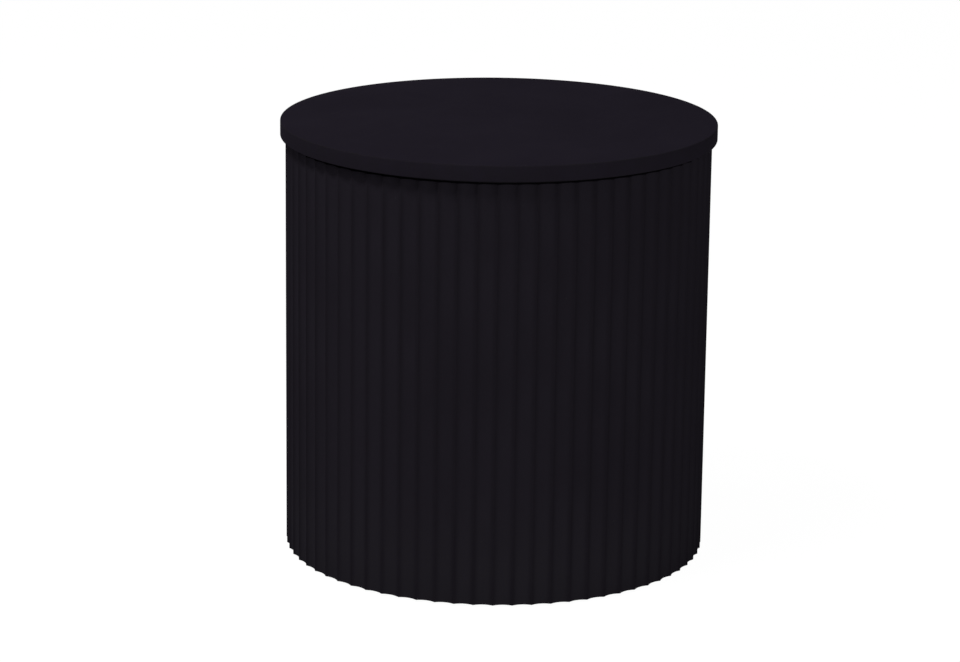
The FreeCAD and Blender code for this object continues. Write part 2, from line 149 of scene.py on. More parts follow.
def begin_point(name, place):
    """A new piece that is one point, drawn on from there."""
    deselect_all()
    bpy.ops.mesh.primitive_plane_add(size=MM, location=place)
    piece = begin(name)
    bpy.ops.mesh.select_all(action="SELECT")
    bpy.ops.mesh.merge(type="CENTER")
    return piece


def move_on(step):
    """Extrudes what is selected by a step."""
    bpy.ops.mesh.extrude_region_move(TRANSFORM_OT_translate={"value": step})


def pick(piece, kind, test):
    """Selects the points, edges or faces that pass a test."""
    bpy.ops.mesh.select_mode(type=kind)
    bpy.ops.mesh.select_all(action="DESELECT")
    shape = bmesh.from_edit_mesh(piece.data)
    for item in {"VERT": shape.verts, "EDGE": shape.edges, "FACE": shape.faces}[kind]:
        if test(item):
            item.select_set(True)
    shape.select_flush_mode()
    bmesh.update_edit_mesh(piece.data)


def edge_points(edge):
    return [corner.co for corner in edge.verts]


def edge_rise(edge):
    return abs(edge.verts[0].co.z - edge.verts[1].co.z)


def distance_out(place):
    """Distance from the upright axis through the origin."""
    return math.hypot(place.x, place.y)


def close_up():
    """Joins points that fell together and turns the faces outwards."""
    bpy.ops.mesh.select_all(action="SELECT")
    bpy.ops.mesh.remove_doubles(threshold=SAME_PLACE)
    bpy.ops.mesh.normals_make_consistent(inside=False)


def end(piece, smooth_angle):
    """Leaves edit mode, with faces shaded smoothly across edges below an angle."""
    bpy.ops.object.mode_set(mode="OBJECT")
    bpy.ops.object.shade_smooth_by_angle(angle=smooth_angle)
    return piece


def draw_turned(name, corners):
    """A shape turned about the upright axis from corners given as distance out and height."""
    places = [Vector((out, 0, height)) for out, height in corners]
    piece = begin_point(name, places[0])
    for place, next_place in zip(places, places[1:]):
        move_on(next_place - place)
    bpy.ops.mesh.select_all(action="SELECT")
    bpy.ops.mesh.spin(steps=TURNED_STEPS, angle=FULL_TURN, center=ORIGIN, axis=CLOCKWISE)
    close_up()
    return piece


# Top board

def make_top_board():
    deselect_all()
    bpy.ops.mesh.primitive_cylinder_add(
        vertices=TOP_RIM_STEPS,
        radius=TOP_RADIUS,
        depth=TOP_THICKNESS,
        location=(0, 0, TABLE_HEIGHT - TOP_THICKNESS / 2),
    )
    piece = begin("top_board")
    pick(piece, "EDGE", lambda edge: edge_rise(edge) < SAME_PLACE)
    bpy.ops.mesh.bevel(offset=TOP_EDGE_ROUND, segments=TOP_EDGE_STEPS, affect="EDGES")
    for up in (1, -1):
        pick(piece, "FACE", lambda face: face.normal.z * up > 0 and len(face.verts) == TOP_RIM_STEPS)
        for _ in range(TOP_FACE_RINGS):
            bpy.ops.mesh.inset(thickness=TOP_RADIUS / (TOP_FACE_RINGS + 1))
        bpy.ops.mesh.poke()
    return end(piece, SOFT_ANGLE)


# Fluted shell

def draw_flute():
    """One flute's outline from the middle of an arris to the middle of the next, each arris rounded."""
    half_pitch = FLUTE_PITCH / 2
    # The flute is one arc that touches the hollow's bottom and the round of the arris on each side
    bottom = SHELL_RADIUS - FLUTE_DEPTH
    nose_out = SHELL_RADIUS - ARRIS_ROUND
    level_out = nose_out * math.cos(half_pitch)
    chord_square = bottom ** 2 + nose_out ** 2 - 2 * bottom * level_out
    flute_radius = (chord_square - ARRIS_ROUND ** 2) / (2 * (level_out + ARRIS_ROUND - bottom))
    flute_centre = polar(bottom + flute_radius, SEAM_ANGLE, SHELL_LOW)
    nose = polar(nose_out, SEAM_ANGLE - half_pitch, SHELL_LOW)
    next_nose = polar(nose_out, SEAM_ANGLE + half_pitch, SHELL_LOW)
    nose_turn = nose.xy.angle((flute_centre - nose).xy)
    piece = begin_point("fluted_shell", polar(SHELL_RADIUS, SEAM_ANGLE - half_pitch, SHELL_LOW))
    bpy.ops.mesh.spin(steps=ARRIS_STEPS, angle=nose_turn, center=nose, axis=ANTICLOCKWISE)
    flute_turn = 2 * (nose_turn - half_pitch)
    bpy.ops.mesh.spin(steps=FLUTE_STEPS, angle=flute_turn, center=flute_centre, axis=CLOCKWISE)
    bpy.ops.mesh.spin(steps=ARRIS_STEPS, angle=nose_turn, center=next_nose, axis=ANTICLOCKWISE)
    return piece


def cut_seam(piece):
    """The narrow groove between the two ends of the bent board, in a flute at the back, with glue inside."""
    out = polar(1, SEAM_ANGLE)
    across = polar(1, SEAM_ANGLE + math.radians(90))
    glue_out = SHELL_RADIUS - FLUTE_DEPTH - SEAM_DEPTH
    quarter_flute = SHELL_RADIUS * FLUTE_PITCH / 4

    def in_seam_flute(face):
        middle = face.calc_center_median()
        return middle.dot(out) > 0 and abs(middle.dot(across)) < quarter_flute

    def in_seam(face):
        return in_seam_flute(face) and abs(face.calc_center_median().dot(across)) < SEAM_WIDTH / 2

    def on_glue(edge):
        off_glue = [abs(place.dot(out) - glue_out) for place in edge_points(edge)]
        return edge.is_boundary and max(off_glue) < SAME_PLACE

    for side in (1, -1):
        pick(piece, "FACE", in_seam_flute)
        bpy.ops.mesh.bisect(plane_co=across * side * SEAM_WIDTH / 2, plane_no=across)
    pick(piece, "FACE", in_seam)
    bpy.ops.mesh.bisect(plane_co=out * glue_out, plane_no=out)
    pick(piece, "FACE", lambda face: in_seam(face) and face.calc_center_median().dot(out) > glue_out)
    bpy.ops.mesh.delete(type="FACE")
    pick(piece, "EDGE", on_glue)
    bpy.ops.mesh.edge_face_add()
    bpy.ops.mesh.select_non_manifold()
    bpy.ops.mesh.fill_holes(sides=0)


def make_fluted_shell():
    piece = draw_flute()
    bpy.ops.mesh.select_all(action="SELECT")
    bpy.ops.mesh.spin(
        steps=FLUTE_COUNT - 1, dupli=True, angle=FULL_TURN - FLUTE_PITCH, center=ORIGIN, axis=CLOCKWISE
    )
    bpy.ops.mesh.select_all(action="SELECT")
    bpy.ops.mesh.remove_doubles(threshold=SAME_PLACE)
    bpy.ops.mesh.primitive_circle_add(
        vertices=FLUTE_COUNT * (FLUTE_STEPS + 2 * ARRIS_STEPS),
        radius=SHELL_RADIUS - SHELL_THICKNESS,
        location=(0, 0, SHELL_LOW),
    )
    bpy.ops.mesh.select_all(action="SELECT")
    bpy.ops.mesh.bridge_edge_loops()
    bpy.ops.mesh.select_all(action="SELECT")
    move_on((0, 0, SHELL_HIGH - SHELL_LOW))
    close_up()
    outer = SHELL_RADIUS - FLUTE_DEPTH - SHELL_END_ROUND
    pick(
        piece,
        "EDGE",
        lambda edge: edge_rise(edge) < SAME_PLACE and min(map(distance_out, edge_points(edge))) > outer,
    )
    bpy.ops.mesh.bevel(offset=SHELL_END_ROUND, segments=SHELL_END_STEPS, affect="EDGES")
    pick(piece, "EDGE", lambda edge: edge_rise(edge) > SHELL_HIGH / 2)
    bpy.ops.mesh.subdivide(number_cuts=SHELL_ROWS)
    cut_seam(piece)
    close_up()
    return end(piece, SOFT_ANGLE)


# Levelling feet

def merge_into(piece, other, operation):
    """Joins another shape to a piece, or keeps what they share, and leaves the piece active."""
    deselect_all()
    bpy.context.view_layer.objects.active = piece
    piece.select_set(True)
    joining = piece.modifiers.new("joining", "BOOLEAN")
    joining.operation = operation
    joining.object = other
    bpy.ops.object.modifier_apply(modifier="joining")
    bpy.data.objects.remove(other)


def make_shank():
    """The threaded length, from one pitch of its outline with heights as shares of the pitch."""
    outline = [
        (THREAD_ROOT, THREAD_ROOT_END_SHARE),
        (THREAD_CREST, THREAD_CREST_START_SHARE),
        (THREAD_CREST, THREAD_CREST_END_SHARE),
        (THREAD_ROOT, 1),
    ]
    foot = Vector((THREAD_ROOT, 0, COLLAR_HIGH - THREAD_PITCH))
    place = foot
    piece = begin_point("levelling_stem", foot)
    for out, pitch_share in outline:
        next_place = Vector((out, 0, foot.z + pitch_share * THREAD_PITCH))
        move_on(next_place - place)
        place = next_place
    bpy.ops.object.mode_set(mode="OBJECT")
    thread = piece.modifiers.new("thread", "SCREW")
    thread.screw_offset = THREAD_PITCH
    thread.iterations = THREAD_TURNS
    thread.steps = THREAD_STEPS
    thread.render_steps = THREAD_STEPS
    bpy.ops.object.modifier_apply(modifier="thread")
    bpy.ops.object.mode_set(mode="EDIT")
    bpy.ops.mesh.select_all(action="SELECT")
    bpy.ops.mesh.remove_doubles(threshold=SAME_PLACE)
    bpy.ops.mesh.select_mode(type="EDGE")
    bpy.ops.mesh.select_non_manifold()
    bpy.ops.mesh.fill_holes(sides=0)
    close_up()
    return end(piece, CRISP_ANGLE)


def make_collar():
    """A hexagonal collar with its corners chamfered at both ends."""
    deselect_all()
    bpy.ops.mesh.primitive_cylinder_add(
        vertices=COLLAR_SIDES,
        radius=COLLAR_CORNER,
        depth=COLLAR_HIGH - COLLAR_LOW,
        location=(0, 0, (COLLAR_LOW + COLLAR_HIGH) / 2),
    )
    piece = end(begin("collar"), CRISP_ANGLE)
    flat_radius = COLLAR_ACROSS_FLATS / 2
    corner_out = flat_radius + COLLAR_CHAMFER / math.tan(COLLAR_CHAMFER_SLOPE)
    turned = draw_turned("collar_turning", [
        (0, COLLAR_LOW),
        (flat_radius, COLLAR_LOW),
        (corner_out, COLLAR_LOW + COLLAR_CHAMFER),
        (corner_out, COLLAR_HIGH - COLLAR_CHAMFER),
        (flat_radius, COLLAR_HIGH),
        (0, COLLAR_HIGH),
    ])
    merge_into(piece, end(turned, CRISP_ANGLE), "INTERSECT")
    return piece


def make_stem():
    """Rivet, pin, collar and thread in one piece."""
    piece = make_shank()
    merge_into(piece, make_collar(), "UNION")
    pin_top = COLLAR_LOW + COLLAR_CHAMFER
    pin = draw_turned("pin", [
        (0, RIVET_LOW),
        (RIVET_RADIUS, RIVET_LOW),
        (RIVET_RADIUS, RIVET_HIGH),
        (PIN_RADIUS, RIVET_HIGH),
        (PIN_RADIUS, pin_top),
        (0, pin_top),
    ])
    merge_into(piece, end(pin, CRISP_ANGLE), "UNION")
    bpy.ops.object.mode_set(mode="EDIT")
    bpy.ops.mesh.select_all(action="SELECT")
    bpy.ops.mesh.dissolve_degenerate(threshold=SAME_PLACE)
    close_up()
    return end(piece, CRISP_ANGLE)


def round_rims(piece, radius, least_out):
    """Rounds the level rims that lie at least so far out."""
    def on_rim(edge):
        first_out, last_out = map(distance_out, edge_points(edge))
        is_level = edge_rise(edge) < SAME_PLACE
        return is_level and abs(first_out - last_out) < SAME_PLACE and first_out > least_out

    pick(piece, "EDGE", on_rim)
    bpy.ops.mesh.bevel(offset=radius, segments=FOOT_EDGE_STEPS, affect="EDGES")


def make_pad():
    """A moulded pad, hollow underneath for the rivet and the sole."""
    piece = draw_turned("levelling_pad", [
        (PAD_BORE, PAD_TOP),
        (PAD_BORE, RIVET_ROOM_TOP),
        (RIVET_ROOM_RADIUS, RIVET_ROOM_TOP),
        (RIVET_ROOM_RADIUS, SOLE_THICKNESS),
        (SOLE_SEAT_RADIUS, SOLE_THICKNESS),
        (SOLE_SEAT_RADIUS, PAD_LOW),
        (PAD_RADIUS, PAD_LOW),
        (PAD_RADIUS, PAD_SHOULDER),
        (PAD_CROWN_RADIUS, PAD_TOP),
        (PAD_BORE, PAD_TOP),
    ])
    round_rims(piece, PAD_EDGE_ROUND, PAD_RADIUS - PAD_EDGE_ROUND)
    return end(piece, SOFT_ANGLE)


def make_sole():
    """A disc of pressed felt with softened edges."""
    piece = draw_turned("felt_sole", [
        (0, 0),
        (SOLE_RADIUS, 0),
        (SOLE_RADIUS, SOLE_THICKNESS),
        (0, SOLE_THICKNESS),
    ])
    round_rims(piece, SOLE_EDGE_ROUND, SOLE_RADIUS - SOLE_EDGE_ROUND)
    return end(piece, SOFT_ANGLE)


def dress(piece, body, node):
    """Makes a piece ride on a body and stand for a solid, which it hides."""
    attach(piece, body)
    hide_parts(node)


def copy_to_feet(model, body, node):
    """Copies a piece from the table's axis to each foot, and takes the first one away."""
    for number, angle in enumerate(FOOT_ANGLES, start=1):
        deselect_all()
        bpy.context.view_layer.objects.active = model
        model.select_set(True)
        bpy.ops.object.duplicate()
        piece = bpy.context.active_object
        piece.name = f"{model.name}_{number}"
        piece.data.name = piece.name
        bpy.ops.transform.translate(value=polar(FOOT_CIRCLE, angle))
        bpy.ops.object.transform_apply(location=True, rotation=True, scale=True)
        dress(piece, f"{body}_{number}", f"{node}_{number}")
    bpy.data.objects.remove(model)


# Nodes

# Most of a noise's values lie between these
NOISE_LOW = 0.3
NOISE_HIGH = 0.7


def set_inputs(tree, node, inputs):
    """Sets each named input to a plain value, or feeds it from another node's output."""
    for name, value in inputs.items():
        if isinstance(value, bpy.types.NodeSocket):
            tree.links.new(value, node.inputs[name])
        else:
            node.inputs[name].default_value = value


def add_node(tree, kind, inputs, **settings):
    node = tree.nodes.new(f"ShaderNode{kind}")
    for name, setting in settings.items():
        setattr(node, name, setting)
    set_inputs(tree, node, inputs)
    return node


def add_noise(tree, vector, scale, detail, roughness=0.5):
    inputs = {"Vector": vector, "Scale": scale, "Detail": detail, "Roughness": roughness}
    return add_node(tree, "TexNoise", inputs).outputs["Fac"]


def move_range(tree, value, low, high, to_low=0.0, to_high=1.0):
    """A value taken smoothly from one range to another, and held inside it."""
    inputs = {"Value": value, "From Min": low, "From Max": high, "To Min": to_low, "To Max": to_high}
    return add_node(tree, "MapRange", inputs, interpolation_type="SMOOTHSTEP").outputs["Result"]


def fade(tree, share, first, second):
    """A value that goes smoothly from a first to a second as a share goes from 0 to 1."""
    return move_range(tree, share, 0.0, 1.0, first, second)


def spread(tree, noise, to_low=0.0, to_high=1.0):
    """A noise's usual range taken to another."""
    return move_range(tree, noise, NOISE_LOW, NOISE_HIGH, to_low, to_high)


def work_out(tree, operation, first, second=0.0):
    return add_node(tree, "Math", {0: first, 1: second}, operation=operation).outputs["Value"]


def mix_colours(tree, share, first, second):
    """The colour a share of the way from a first to a second."""
    # Inputs 6 and 7 and output 2 are the ones for colours
    return add_node(tree, "Mix", {0: share, 6: first, 7: second}, data_type="RGBA").outputs[2]


def stretch(tree, vector, scale, rotation=ORIGIN):
    inputs = {"Vector": vector, "Scale": scale, "Rotation": rotation}
    return add_node(tree, "Mapping", inputs).outputs["Vector"]


def new_effect(name, inputs, outputs):
    """An empty node group with a place vector and number inputs, and number outputs."""
    tree = bpy.data.node_groups.new(name, "ShaderNodeTree")
    tree.interface.new_socket("Vector", in_out="INPUT", socket_type="NodeSocketVector")
    for label in inputs:
        tree.interface.new_socket(label, in_out="INPUT", socket_type="NodeSocketFloat")
    for label in outputs:
        tree.interface.new_socket(label, in_out="OUTPUT", socket_type="NodeSocketFloat")
    return tree, tree.nodes.new("NodeGroupInput").outputs, tree.nodes.new("NodeGroupOutput").inputs


# Effects that several finishes share

def make_place_effect():
    """How far a point is from the table's upright axis, and how high it is."""
    tree, given, result = new_effect("place on the table", [], ["Out", "Height"])
    level = add_node(tree, "VectorMath", {0: given["Vector"], 1: (1, 1, 0)}, operation="MULTIPLY")
    out = add_node(tree, "VectorMath", {0: level.outputs["Vector"]}, operation="LENGTH")
    parts = add_node(tree, "SeparateXYZ", {"Vector": given["Vector"]})
    tree.links.new(out.outputs["Value"], result["Out"])
    tree.links.new(parts.outputs["Z"], result["Height"])
    return tree


# Specks of dust: how far one reaches in its cell, and the cells' own values from which they have one
SPECK_CORE = 0.02
SPECK_EDGE = 0.07
SPECK_NONE = 0.7
SPECK_FULL = 0.75


def make_film_effect():
    """Slow clouds of tone, the fine ripple of a sprayed coat, and specks of dust caught in it."""
    tree, given, result = new_effect(
        "sprayed film", ["Cloud Scale", "Ripple Scale", "Dust Scale"], ["Cloud", "Ripple", "Dust"]
    )
    cloud = add_noise(tree, given["Vector"], given["Cloud Scale"], detail=5.0, roughness=0.55)
    tree.links.new(spread(tree, cloud), result["Cloud"])
    tree.links.new(add_noise(tree, given["Vector"], given["Ripple Scale"], detail=3.0), result["Ripple"])
    cells = add_node(tree, "TexVoronoi", {"Vector": given["Vector"], "Scale": given["Dust Scale"]})
    speck = move_range(tree, cells.outputs["Distance"], SPECK_CORE, SPECK_EDGE, 1.0, 0.0)
    some = move_range(tree, cells.outputs["Color"], SPECK_NONE, SPECK_FULL)
    tree.links.new(work_out(tree, "MULTIPLY", speck, some), result["Dust"])
    return tree


# Noise values between which a patch goes from least to most painted edge light
PATCH_LOW = 0.35
PATCH_HIGH = 0.65


def make_painted_edge_light_effect():
    """Light and shade painted on an edge, more in some patches than in others."""
    tree, given, result = new_effect("painted edge light", ["Edge", "Patch Scale", "Least Wear"], ["Wear"])
    patches = add_noise(tree, given["Vector"], given["Patch Scale"], detail=6.0, roughness=0.65)
    kept = move_range(tree, patches, PATCH_LOW, PATCH_HIGH, given["Least Wear"], 1.0)
    tree.links.new(work_out(tree, "MULTIPLY", given["Edge"], kept), result["Wear"])
    return tree


# Each set of rubbed lines: its turn in radians, and how far it is drawn out along the lines
SCUFF_LINES = ((0.5, (1.0, 0.03, 1.0)), (-0.9, (0.04, 1.0, 1.0)))
SCUFF_LOW = 0.6
SCUFF_HIGH = 0.7


def make_scuff_effect():
    """Fine rubbed lines that cross each other."""
    tree, given, result = new_effect("scuffs", ["Scale"], ["Scuff"])
    lines = []
    for turn, drawn_out in SCUFF_LINES:
        turned = stretch(tree, given["Vector"], (1, 1, 1), rotation=(0, 0, turn))
        streaks = add_noise(tree, stretch(tree, turned, drawn_out), given["Scale"], detail=4.0)
        lines.append(move_range(tree, streaks, SCUFF_LOW, SCUFF_HIGH))
    tree.links.new(work_out(tree, "MAXIMUM", *lines), result["Scuff"])
    return tree


# Rings and fibres are drawn out along the wood
RING_STRETCH = (1.0, 1.0, 0.06)
FIBRE_STRETCH = (1.0, 1.0, 0.015)


def make_grain_effect():
    """Growth rings and fibres that run up a piece of wood."""
    tree, given, result = new_effect("wood grain", ["Ring Scale", "Fibre Scale"], ["Rings", "Fibre"])
    rings = add_node(
        tree,
        "TexWave",
        {
            "Vector": stretch(tree, given["Vector"], RING_STRETCH),
            "Scale": given["Ring Scale"],
            "Distortion": 6.0,
            "Detail": 3.0,
        },
        wave_type="RINGS",
        rings_direction="Z",
        wave_profile="SAW",
    )
    along = stretch(tree, given["Vector"], FIBRE_STRETCH)
    fibres = add_noise(tree, along, given["Fibre Scale"], detail=6.0, roughness=0.65)
    tree.links.new(rings.outputs["Fac"], result["Rings"])
    tree.links.new(fibres, result["Fibre"])
    return tree


def make_mat_effect():
    """Short fibres pressed together with no direction, in looser and denser clumps."""
    tree, given, result = new_effect("fibre mat", ["Fibre Scale", "Clump Scale"], ["Fibre", "Clump"])
    fine = add_noise(tree, given["Vector"], given["Fibre Scale"], detail=8.0, roughness=0.72)
    clumps = add_noise(tree, given["Vector"], given["Clump Scale"], detail=3.0)
    tree.links.new(spread(tree, fine), result["Fibre"])
    tree.links.new(spread(tree, clumps), result["Clump"])
    return tree


PLACE = make_place_effect()
FILM = make_film_effect()
PAINTED_EDGE_LIGHT = make_painted_edge_light_effect()
SCUFFS = make_scuff_effect()
GRAIN = make_grain_effect()
MAT = make_mat_effect()


# Finishes

def spaced(inputs):
    """Inputs under their own labels, which have spaces where these names have underscores."""
    return {label.replace("_", " "): value for label, value in inputs.items()}


class Finish:
    """A material being made: its nodes, its shader's inputs and the piece's own coordinates."""

    def __init__(self, name, **constants):
        self.material = bpy.data.materials.new(name)
        self.material.use_nodes = True
        self.tree = self.material.node_tree
        self.shader = self.tree.nodes["Principled BSDF"]
        self.vector = self.tree.nodes.new("ShaderNodeTexCoord").outputs["Object"]
        self.feed(**constants)

    def effect(self, group, **inputs):
        node = self.tree.nodes.new("ShaderNodeGroup")
        node.node_tree = group
        set_inputs(self.tree, node, {"Vector": self.vector, **spaced(inputs)})
        return node.outputs

    def feed(self, **inputs):
        set_inputs(self.tree, self.shader, spaced(inputs))

    def bump(self, height, distance):
        inputs = {"Height": height, "Distance": distance}
        self.feed(Normal=add_node(self.tree, "Bump", inputs).outputs["Normal"])


# Lacquer: its tones, how dust specks, painted light near the floor and painted light and shade on its edges
# change them, and its surface
TOP_DEEP = (0.0107, 0.0089, 0.0135, 1)
TOP_PALE = (0.0121, 0.0101, 0.0152, 1)
# The same lacquer as the top, painted lighter on the flutes to make up for how light falls on them
FLUTE_DEEP_PAINTED_LIGHTER = (0.0121, 0.0104, 0.0142, 1)
FLUTE_PALE_PAINTED_LIGHTER = (0.0137, 0.0119, 0.0162, 1)
# One pale tone for real dust specks and for painted light bounced off the floor, paler towards the bottom of
# the shell
LACQUER_DUST_AND_BOUNCE_LIGHT = (0.02, 0.019, 0.022, 1)
BOUNCE_LIGHT_REACH = 160 * MM
FLOOR_BOUNCE_LIGHT_SHARE = 0.28
# Painted light on the top's rim: a faint painted highlight on its rounded corners and a more neutral painted
# tone on its face
RIM_PAINTED_LIGHT = (0.0105, 0.0094, 0.0108, 1)
RIM_FACE_PAINT_SHARE = 0.35
FULL_PAINT_ROUND_SHARE = 0.25
UNSHADED_DEPTH_SHARE = 0.1
# Painted shade: the ridges between the flutes are darker than the hollows
RIDGE_PAINTED_SHADE = (0.0102, 0.0088, 0.0119, 1)
LACQUER_GLOSS = 0.001
LACQUER_SCUFF_SHARE = 0.4
LACQUER_ROUGHNESS = (0.85, 0.7)
LACQUER_RIPPLE = 0.02 * MM


def find_top_rims(tree, place):
    """Where light is painted on the top board's rim, most of all on its two rounded corners."""
    half = TOP_THICKNESS / 2
    off_middle = work_out(tree, "SUBTRACT", place["Height"], TABLE_HEIGHT - half)
    off_middle = work_out(tree, "ABSOLUTE", off_middle)
    # Full painted light starts this far into the rounded corner
    rubbed = TOP_EDGE_ROUND * FULL_PAINT_ROUND_SHARE
    rim = move_range(tree, place["Out"], TOP_RADIUS - TOP_EDGE_ROUND, TOP_RADIUS - rubbed)
    corner = move_range(tree, off_middle, half - TOP_EDGE_ROUND, half - rubbed, RIM_FACE_PAINT_SHARE, 1.0)
    return work_out(tree, "MULTIPLY", rim, corner)


def find_ridges(tree, place):
    """Where shade is painted on the ridges between the flutes, fading into the hollows."""
    unshaded_out = SHELL_RADIUS - FLUTE_DEPTH + FLUTE_DEPTH * UNSHADED_DEPTH_SHARE
    return move_range(tree, place["Out"], unshaded_out, SHELL_RADIUS - ARRIS_ROUND * FULL_PAINT_ROUND_SHARE)


def make_lacquer(name, deep, pale, find_edges, painted_edge_colour, **edge_light_values):
    """Matt black lacquer in slow clouds of tone, with another tone painted on its edges: a painted highlight
    on the top's rim, painted shade on the flutes' ridges.
    """
    finish = Finish(name, Specular_IOR_Level=LACQUER_GLOSS)
    tree = finish.tree
    film = finish.effect(FILM, Cloud_Scale=9.0, Ripple_Scale=600.0, Dust_Scale=75.0)
    scuff = finish.effect(SCUFFS, Scale=90.0)["Scuff"]
    place = finish.effect(PLACE)
    edge_paint = finish.effect(PAINTED_EDGE_LIGHT, Edge=find_edges(tree, place), **edge_light_values)["Wear"]
    coat = mix_colours(tree, film["Cloud"], deep, pale)
    # Painted light: paler towards the floor, standing in for light bounced off it
    painted_floor_bounce = move_range(tree, place["Height"], 0.0, BOUNCE_LIGHT_REACH, FLOOR_BOUNCE_LIGHT_SHARE, 0.0)
    specks_and_bounce_light = mix_colours(tree, work_out(tree, "MAXIMUM", film["Dust"], painted_floor_bounce), coat, LACQUER_DUST_AND_BOUNCE_LIGHT)
    # Roughness drops on the scuffs and on the edges where light and shade are painted
    rubbed = work_out(tree, "MAXIMUM", edge_paint, work_out(tree, "MULTIPLY", scuff, LACQUER_SCUFF_SHARE))
    finish.feed(
        Base_Color=mix_colours(tree, edge_paint, specks_and_bounce_light, painted_edge_colour),
        Roughness=fade(tree, rubbed, *LACQUER_ROUGHNESS),
    )
    finish.bump(work_out(tree, "ADD", film["Ripple"], film["Dust"]), LACQUER_RIPPLE)
    return finish.material


# Paint in the gap under the top
BLACK_PAINT = (0.0095, 0.0085, 0.0105, 1)
PAINT_OVERLAP = 0.5 * MM
PAINT_LOW = SHELL_HIGH - PAINT_OVERLAP
PAINT_FADE = 0.3 * MM

# Bare fibreboard
BOARD_DARK = (0.22, 0.145, 0.08, 1)
BOARD_PALE = (0.44, 0.32, 0.2, 1)
BOARD_CLUMP = (0.3, 0.2, 0.115, 1)
BOARD_CLUMP_SHARE = 0.4
BOARD_ROUGHNESS = (0.96, 0.82)
BOARD_NAP = 0.05 * MM


def make_raw_board():
    """Bare fibreboard, painted black where it shows in the gap under the top."""
    finish = Finish("raw_fibreboard", Specular_IOR_Level=0.1)
    tree = finish.tree
    mat = finish.effect(MAT, Fibre_Scale=420.0, Clump_Scale=30.0)
    height = finish.effect(PLACE)["Height"]
    fibres = mix_colours(tree, mat["Fibre"], BOARD_DARK, BOARD_PALE)
    clumps = work_out(tree, "MULTIPLY", mat["Clump"], BOARD_CLUMP_SHARE)
    board = mix_colours(tree, clumps, fibres, BOARD_CLUMP)
    painted = move_range(tree, height, PAINT_LOW, PAINT_LOW + PAINT_FADE)
    finish.feed(
        Base_Color=mix_colours(tree, painted, board, BLACK_PAINT),
        Roughness=fade(tree, mat["Fibre"], *BOARD_ROUGHNESS),
    )
    finish.bump(mat["Fibre"], BOARD_NAP)
    return finish.material


# Sealed fibreboard
SEALED_DARK = (0.014, 0.0132, 0.0145, 1)
SEALED_PALE = (0.024, 0.0228, 0.0242, 1)
SEALED_ROUGHNESS = (0.85, 0.78)


def make_sealed_board():
    """Fibreboard under one thin black coat, with its fibres raised."""
    finish = Finish("sealed_fibreboard", Specular_IOR_Level=0.2)
    tree = finish.tree
    mat = finish.effect(MAT, Fibre_Scale=420.0, Clump_Scale=22.0)
    scuff = finish.effect(SCUFFS, Scale=260.0)["Scuff"]
    tone = work_out(tree, "MULTIPLY", mat["Fibre"], mat["Clump"])
    finish.feed(
        Base_Color=mix_colours(tree, tone, SEALED_DARK, SEALED_PALE),
        Roughness=fade(tree, scuff, *SEALED_ROUGHNESS),
    )
    finish.bump(mat["Fibre"], BOARD_NAP)
    return finish.material


# Wood
PINE_EARLY = (0.68, 0.49, 0.28, 1)
PINE_LATE = (0.5, 0.3, 0.14, 1)
PINE_FIBRE = (0.74, 0.56, 0.35, 1)
BEECH_EARLY = (0.7, 0.49, 0.31, 1)
BEECH_LATE = (0.58, 0.37, 0.22, 1)
BEECH_FIBRE = (0.5, 0.31, 0.18, 1)
WOOD_FIBRE_LOW = 0.45
WOOD_FIBRE_HIGH = 0.75
WOOD_FIBRE_SHARE = 0.6
WOOD_ROUGHNESS = (0.62, 0.78)
WOOD_NAP = 0.04 * MM


def make_wood(name, early, late, fibre, paint_low, **scales):
    """Planed bare wood, painted black above a height."""
    finish = Finish(name, Specular_IOR_Level=0.1)
    tree = finish.tree
    grain = finish.effect(GRAIN, **scales)
    height = finish.effect(PLACE)["Height"]
    rings = mix_colours(tree, grain["Rings"], early, late)
    fibres = move_range(tree, grain["Fibre"], WOOD_FIBRE_LOW, WOOD_FIBRE_HIGH, 0.0, WOOD_FIBRE_SHARE)
    wood = mix_colours(tree, fibres, rings, fibre)
    painted = move_range(tree, height, paint_low, paint_low + PAINT_FADE)
    finish.feed(
        Base_Color=mix_colours(tree, painted, wood, BLACK_PAINT),
        Roughness=spread(tree, grain["Fibre"], *WOOD_ROUGHNESS),
    )
    finish.bump(grain["Fibre"], WOOD_NAP)
    return finish.material


# Zinc plated steel
ZINC_BRIGHT = (0.66, 0.66, 0.64, 1)
ZINC_DULL = (0.5, 0.505, 0.5, 1)
ZINC_SCUFF_SHARE = 0.5
ZINC_ROUGHNESS = (0.5, 0.34)
ZINC_GRAIN = 0.01 * MM


def make_zinc_steel():
    """Plated steel in dull and bright patches, with fine scratches."""
    finish = Finish("zinc_plated_steel", Metallic=1.0)
    tree = finish.tree
    film = finish.effect(FILM, Cloud_Scale=160.0, Ripple_Scale=2400.0, Dust_Scale=900.0)
    scuff = finish.effect(SCUFFS, Scale=900.0)["Scuff"]
    patches = mix_colours(tree, film["Cloud"], ZINC_DULL, ZINC_BRIGHT)
    scratches = work_out(tree, "MULTIPLY", scuff, ZINC_SCUFF_SHARE)
    finish.feed(
        Base_Color=mix_colours(tree, scratches, patches, ZINC_BRIGHT),
        Roughness=fade(tree, film["Cloud"], *ZINC_ROUGHNESS),
    )
    finish.bump(work_out(tree, "SUBTRACT", film["Ripple"], scuff), ZINC_GRAIN)
    return finish.material


# Moulded plastic
PLASTIC_DARK = (0.016, 0.016, 0.017, 1)
PLASTIC_PALE = (0.025, 0.025, 0.026, 1)
PLASTIC_SCUFF_SHARE = 0.6
PLASTIC_ROUGHNESS = (0.55, 0.42)
PLASTIC_GRAIN = 0.03 * MM


